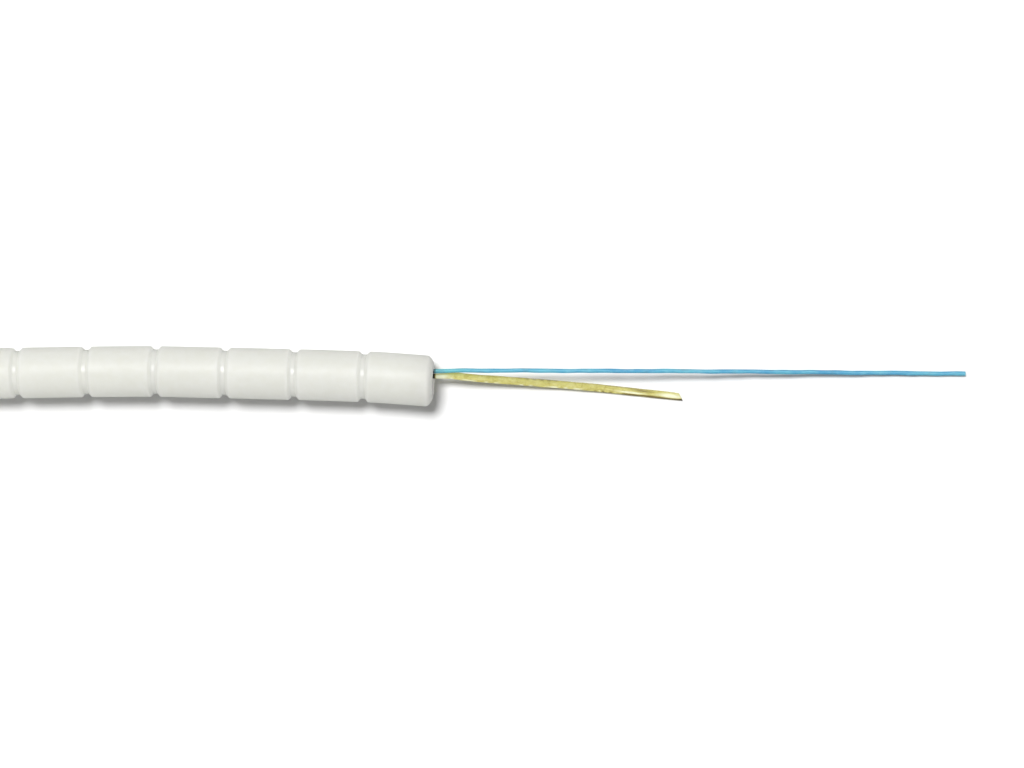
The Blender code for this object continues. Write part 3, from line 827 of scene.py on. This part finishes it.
filament_count = len(filament_points)
filament_turn = np.repeat(rng.uniform(0.0, 1.0, LOOSE_FILAMENTS), FILAMENT_RINGS * FILAMENT_SIDES)
# Each filament takes the strand's shade where it lies, painted highlights and painted shade with it,
# plus a little at random.
filament_shade = strand_shade(place_along.ravel(), place_turn.ravel())
filament_shade += np.repeat(rng.uniform(-0.3, 0.3, LOOSE_FILAMENTS), FILAMENT_RINGS)
filament_shade = np.repeat(filament_shade, FILAMENT_SIDES)

golden = yarn_material()
yarn = add_piece(
    "yarn_strand",
    np.vstack([strand_points, filament_points]),
    [*strand_faces, *filament_faces],
    golden,
    {
        "turn": np.concatenate([strand_turn, filament_turn]),
        "along": np.concatenate([strand_along, np.full(filament_count, 0.5)]),
        "shade": np.concatenate([strand_shades, filament_shade]),
    },
    60.0,
)
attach(yarn, "root")
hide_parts("aramid_yarn")

# The far end is cut off flush in the bore, like the fibre's: rings round the stub's line with an
# oval radius, rippled by the ridges
stub_along = distances_along(stub_line)
stub_rings = rings_along(stub_line, stub_along, 0 * stub_along + YARN_WIDTH / 2, YARN_SIDES)
stub_middle = stub_line[:, None]
ripple = 1 + 0.05 * np.sin(RIDGES * turns)[None, :, None]
flat = np.array([1.0, 1.0, YARN_THICKNESS / YARN_WIDTH])
stub_rings = stub_middle + (stub_rings - stub_middle) * ripple * flat
stub_points = np.vstack([stub_rings.reshape(-1, 3), stub_line[0], stub_line[-1]])
stub_points[:, 2] -= YARN_STUB_DROP
stub_faces = closed_tube_faces(stub_rings.shape[0], YARN_SIDES)
stub_turn = np.concatenate([np.tile(turns, stub_rings.shape[0]), [0.0, 0.0]]) / (2 * np.pi)
stub_share = np.concatenate([np.repeat(stub_along, YARN_SIDES), [0.0, stub_along[-1]]]) / yarn_length
yarn_stub = add_piece(
    "yarn_strand_far_end",
    stub_points,
    stub_faces,
    golden,
    {"turn": stub_turn, "along": stub_share, "shade": 0 * stub_turn},
    60.0,
)
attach(yarn_stub, "root")

# Straps
# Three bands of black hook-and-loop tape hold the coil. Each is a woven nylon tape with a raised nap
# of loops outside, hooks inside and a flat selvedge along both edges. It goes once round the turns
# and laps over its own start on top, where the hooks hold it.
TAPE_WIDTH = 10 * MM
TAPE_THICKNESS = 1.0 * MM
SELVEDGE_WIDTH = 0.8 * MM
SELVEDGE_THICKNESS = 0.42 * MM
SELVEDGE_ROUNDING = 0.25 * MM
NAP_FALLS_OVER = 0.35 * MM
TAPE_SNUG = 0.05 * MM
TAPE_SNUG_IN_HOLE = 0.14 * MM
TAPE_CORNER_RADIUS = 2.95 * MM
LAP_LENGTH = 19 * MM
LAP_RISE_LENGTH = 4 * MM
LAP_LIFT = 1.03 * TAPE_THICKNESS
TAPE_RING_STEP = 0.3 * MM
TAPE_FACE_POINTS = 31
NAP_DEPTH = 0.07 * MM
NAP_PRESSED = 1.5
NAP_LOOPS = 1100
LOOP_RADIUS = 0.018 * MM
LOOP_SPAN = (0.25 * MM, 0.6 * MM)
LOOP_HEIGHT = (0.08 * MM, 0.24 * MM)
LOOP_MARGIN = 0.5 * MM
LOOPS_FROM_HEIGHT = 0.4 * MM
LOOPS_ABOVE_TAPE = 1.9 * MM
LOOP_RINGS = 9
LOOP_SIDES = 4

inner_reach = inner_turn_radius - JACKET_RADIUS - TAPE_SNUG_IN_HOLE - TAPE_THICKNESS / 2
outer_reach = outer_turn_radius + JACKET_RADIUS + TAPE_SNUG + TAPE_THICKNESS / 2
tape_low = TAPE_THICKNESS / 2
tape_high = coil_high.z + TAPE_SNUG + TAPE_THICKNESS / 2
lap_middle = (inner_reach + outer_reach) / 2


def tape_route():
    """Return the tape's middle line, as distance from the coil's axis and height.

    It starts on top, goes outwards, down, inwards under the coil and up again, with a quarter
    circle at each corner, and laps one thickness higher over its own start.
    """
    corner = TAPE_CORNER_RADIUS
    quarter = np.linspace(0.0, np.pi / 2, 16)
    corners = [
        (outer_reach - corner, tape_high - corner, np.pi / 2),
        (outer_reach - corner, tape_low + corner, 0.0),
        (inner_reach + corner, tape_low + corner, -np.pi / 2),
        (inner_reach + corner, tape_high - corner, -np.pi),
    ]
    lines = [np.array([(lap_middle - LAP_LENGTH / 2, tape_high)])]
    for reach, height, start in corners:
        turn = start - quarter
        lines.append(np.stack([reach + corner * np.cos(turn), height + corner * np.sin(turn)], axis=1))
    rise = np.linspace(0.0, 1.0, 12)
    over = lap_middle - LAP_LENGTH / 2 - LAP_RISE_LENGTH + rise * LAP_RISE_LENGTH
    lines.append(np.stack([over, tape_high + LAP_LIFT * ease(rise)], axis=1))
    lines.append(np.array([(lap_middle + LAP_LENGTH / 2, tape_high + LAP_LIFT)]))
    return np.vstack(lines)


def tape_section():
    """Return the section's points, as places across the tape and heights off its middle line.

    Each face is level over the nap and eases down to the selvedge, which is a thin flat edge with
    a round side. The points go along the outer face, round the side and back along the inner one.
    """
    across = np.linspace(-1.0, 1.0, TAPE_FACE_POINTS) * TAPE_WIDTH / 2
    to_edge = TAPE_WIDTH / 2 - np.abs(across)
    raised = ease((to_edge - SELVEDGE_WIDTH) / NAP_FALLS_OVER)
    height = SELVEDGE_THICKNESS / 2 + (TAPE_THICKNESS - SELVEDGE_THICKNESS) / 2 * raised
    height *= ease(0.45 + 0.55 * to_edge / SELVEDGE_ROUNDING)
    return np.concatenate([across, across[::-1]]), np.concatenate([height, -height[::-1]]), raised


def tape_points(route, stations, across, height, round_coil):
    """Return points on the tape at these distances, places across it and heights off its middle.

    The height goes along the route's outward normal. The tape wraps the coil's round, so a place
    across it is an arc about the coil's axis at its own distance from the axis.
    """
    along = distances_along(route)
    reach = np.interp(stations, along, route[:, 0])
    level = np.interp(stations, along, route[:, 1])
    ahead = [np.interp(stations + 0.2 * MM, along, route[:, axis]) for axis in range(2)]
    behind = [np.interp(stations - 0.2 * MM, along, route[:, axis]) for axis in range(2)]
    step = np.stack([ahead[0] - behind[0], ahead[1] - behind[1]])
    step /= np.linalg.norm(step, axis=0)
    reach = reach - step[1] * height
    level = level + step[0] * height
    heading = round_coil + across / reach
    points = np.stack([reach * np.cos(heading), reach * np.sin(heading), level], axis=-1)
    points = points + np.array(coil_axis)
    points[..., 2] = np.maximum(points[..., 2], 0.0)
    return points


def tape_material():
    """Black napped nylon: a mottled pile of loops, and ribbed selvedges a little paler."""
    material, tree, shader, place = start_material("black_hook_and_loop")
    nap = point_value(tree, "nap")
    pile = ramp(tree, noise(tree, place, 2600.0, 4.0, 0.65), 0.32, 0.68)
    patches = ramp(tree, noise(tree, place, 320.0, 3.0), 0.38, 0.62)
    ribs = maths(tree, "SINE", maths(tree, "MULTIPLY", point_value(tree, "along"), 9000.0), 0.0)
    ribs = ramp(tree, ribs, -1.0, 1.0)
    body = mix_colour(tree, pile, (0.008, 0.008, 0.009, 1.0), (0.040, 0.040, 0.044, 1.0))
    body = mix_colour(tree, ramp(tree, patches, 0.0, 1.0, 0.0, 0.35), body, (0.028, 0.028, 0.032, 1.0))
    edge = mix_colour(tree, ribs, (0.010, 0.010, 0.011, 1.0), (0.052, 0.052, 0.056, 1.0))
    body = mix_colour(tree, nap, edge, body)
    relief = maths(tree, "ADD", maths(tree, "MULTIPLY", pile, nap), maths(tree, "MULTIPLY", ribs, 0.5))
    set_inputs(tree, shader, {
        "Base Color": body,
        "Roughness": ramp(tree, pile, 0.0, 1.0, 0.72, 0.92),
        "Normal": bump(tree, relief, 0.7, 0.06 * MM),
        "Sheen Weight": 0.35,
        "Sheen Roughness": 0.5,
    })
    return material


def smooth_grid(grid, rounds):
    """Return a grid of numbers averaged with its neighbours round all sides, this many times."""
    for _ in range(rounds):
        grid = (2 * grid + sum(np.roll(grid, move, axis) for move in (-1, 1) for axis in (0, 1))) / 6
    return grid / grid.std()


def add_strap(number):
    """Make one band: the tape, and small loops of its nap as arches of thin tube.

    The nap is a random lift of both faces, smoothed with its neighbours, and its highest peaks
    are cut off on the inner face, where it lies pressed on the turns.
    """
    rng = np.random.default_rng(40 + number)
    round_coil = 2 * np.pi * (number - 1) / 3
    route = tape_route()
    length = distances_along(route)[-1]
    stations = np.linspace(0.0, length, round(length / TAPE_RING_STEP))
    across, height, raised = tape_section()
    both_faces = np.concatenate([raised, raised[::-1]])
    nap = smooth_grid(rng.normal(size=(len(stations), len(across))), 1)
    nap = np.where(height < 0, np.minimum(nap, NAP_PRESSED), nap)
    lifted = height + np.sign(height) * both_faces * NAP_DEPTH * (nap - 1.0)
    station_grid = np.repeat(stations[:, None], len(across), axis=1)
    across_grid = np.repeat(across[None], len(stations), axis=0)
    rings = tape_points(route, station_grid, across_grid, lifted, round_coil)
    tape = np.vstack([rings.reshape(-1, 3), rings[[0, -1]].mean(axis=1)])
    faces = [face[::-1] for face in closed_tube_faces(len(stations), len(across))]

    # A loop goes straight over the nap from one foot to the other, in half a sine's arch
    share = np.linspace(0.0, 1.0, LOOP_RINGS)[None, :]
    heading = rng.uniform(0.0, 2 * np.pi, NAP_LOOPS)[:, None]
    span = rng.uniform(*LOOP_SPAN, NAP_LOOPS)[:, None]
    first = rng.uniform(LOOP_MARGIN, length - LOOP_MARGIN, NAP_LOOPS)[:, None]
    nap_reach = TAPE_WIDTH / 2 - SELVEDGE_WIDTH - LOOP_MARGIN
    aside = rng.uniform(-1.0, 1.0, NAP_LOOPS)[:, None] * nap_reach
    arch = np.sin(np.pi * share) * rng.uniform(*LOOP_HEIGHT, NAP_LOOPS)[:, None]
    base = TAPE_THICKNESS / 2 - 1.3 * NAP_DEPTH
    lengthwise = first + span * (share - 0.5) * np.cos(heading)
    crosswise = aside + span * (share - 0.5) * np.sin(heading)
    lines = tape_points(route, lengthwise, crosswise, base + arch, round_coil)
    off_floor = lines[..., 2].min(axis=1) > LOOPS_FROM_HEIGHT
    below_top = lines[..., 2].max(axis=1) < tape_high + LOOPS_ABOVE_TAPE
    under_lap = lengthwise.max(axis=1) < LAP_LENGTH + LOOP_MARGIN
    lines = lines[off_floor & below_top & ~under_lap]
    step = unit(np.gradient(lines, axis=1))
    chord = lines[:, -1] - lines[:, 0]
    bulge = lines[:, LOOP_RINGS // 2] - (lines[:, 0] + lines[:, -1]) / 2
    flat = np.repeat(unit(np.cross(chord, bulge))[:, None], LOOP_RINGS, axis=1)
    loops, loop_faces = thin_tubes(lines, step, flat, LOOP_RADIUS, LOOP_SIDES, len(tape))

    nap_share = np.concatenate([np.tile(both_faces, len(stations)), [1.0, 1.0], np.ones(len(loops))])
    along = np.concatenate([station_grid.ravel(), [0.0, length], np.zeros(len(loops))])
    shares = {"nap": nap_share, "along": along}
    points = np.vstack([tape, loops])
    return add_piece(f"strap_{number}", points, faces + loop_faces, black_tape, shares, 70.0)


black_tape = tape_material()
straps = [add_strap(number) for number in (1, 2, 3)]
for number, strap in enumerate(straps, start=1):
    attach(strap, "root")
    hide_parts(f"coil_strap_{number}")

# Floor, light and surroundings
# A plain white table top. A soft lamp up on the left throws the shadow on it, and two soft boxes
# overhead light the cable: the wider one gives no reflection, and the narrower one nothing else.
# The surroundings are a dim even white.
FLOOR_HALF_WIDTH = 4.0
FLOOR_HEIGHT = -0.03 * MM
SURROUNDINGS = 0.24
SHADOW_LAMP = {"watts": 3.2, "angle": 20.0, "tilt": (-0.18, 0.34)}
WIDE_LAMP = {"watts": 2.63, "angle": 75.0, "tilt": (0.01, 0.12)}
NARROW_LAMP = {"watts": 1.75, "angle": 30.0, "tilt": (-0.04, 0.33)}

floor_corners = np.array([(-1, -1), (1, -1), (1, 1), (-1, 1)]) * FLOOR_HALF_WIDTH
floor_points = np.column_stack([floor_corners, np.full(4, FLOOR_HEIGHT)])
floor_material, tree, shader, _ = start_material("white_table")
pale = {"Base Color": (0.9, 0.9, 0.9, 1.0), "Roughness": 0.9, "Specular IOR Level": 0.0}
set_inputs(tree, shader, pale)
table_top = add_piece("table_top", floor_points, [(0, 1, 2, 3)], floor_material)
table_top.visible_glossy = False


def add_lamp(name, watts, angle, tilt, lit):
    """Add a far lamp of this apparent width in degrees, tilted off the vertical, for some pieces."""
    data = bpy.data.lights.new(name, "SUN")
    data.energy = watts
    data.angle = np.radians(angle)
    lamp = bpy.data.objects.new(name, data)
    bpy.context.scene.collection.objects.link(lamp)
    lamp.rotation_euler = Vector((*tilt, 1.0)).to_track_quat("Z", "Y").to_euler()
    group = bpy.data.collections.new(f"lit_by_{name}")
    for piece in lit:
        group.objects.link(piece)
    lamp.light_linking.receiver_collection = group
    return lamp


cable_pieces = [jacket, fibre, fibre_stub, yarn, yarn_stub, *straps]
add_lamp("shadow_lamp", **SHADOW_LAMP, lit=[table_top])
wide_lamp = add_lamp("wide_lamp", **WIDE_LAMP, lit=cable_pieces)
wide_lamp.visible_glossy = False
narrow_lamp = add_lamp("narrow_lamp", **NARROW_LAMP, lit=cable_pieces)
narrow_lamp.visible_diffuse = False

# The camera sees the surroundings white, and they light the cable dimly
world = bpy.data.worlds.new("surroundings")
bpy.context.scene.world = world
world.use_nodes = True
tree = world.node_tree
seen = add_node(tree, "ShaderNodeLightPath").outputs["Is Camera Ray"]
dim = tree.nodes["Background"]
set_inputs(tree, dim, {"Color": (1.0, 1.0, 1.0, 1.0), "Strength": SURROUNDINGS})
bright = add_node(tree, "ShaderNodeBackground", {"Color": (1.0, 1.0, 1.0, 1.0), "Strength": 1.0})
either = {0: seen, 1: dim.outputs["Background"], 2: bright.outputs["Background"]}
either = add_node(tree, "ShaderNodeMixShader", either)
tree.links.new(either.outputs["Shader"], tree.nodes["World Output"].inputs["Surface"])
bpy.context.scene.view_settings.view_transform = "Standard"
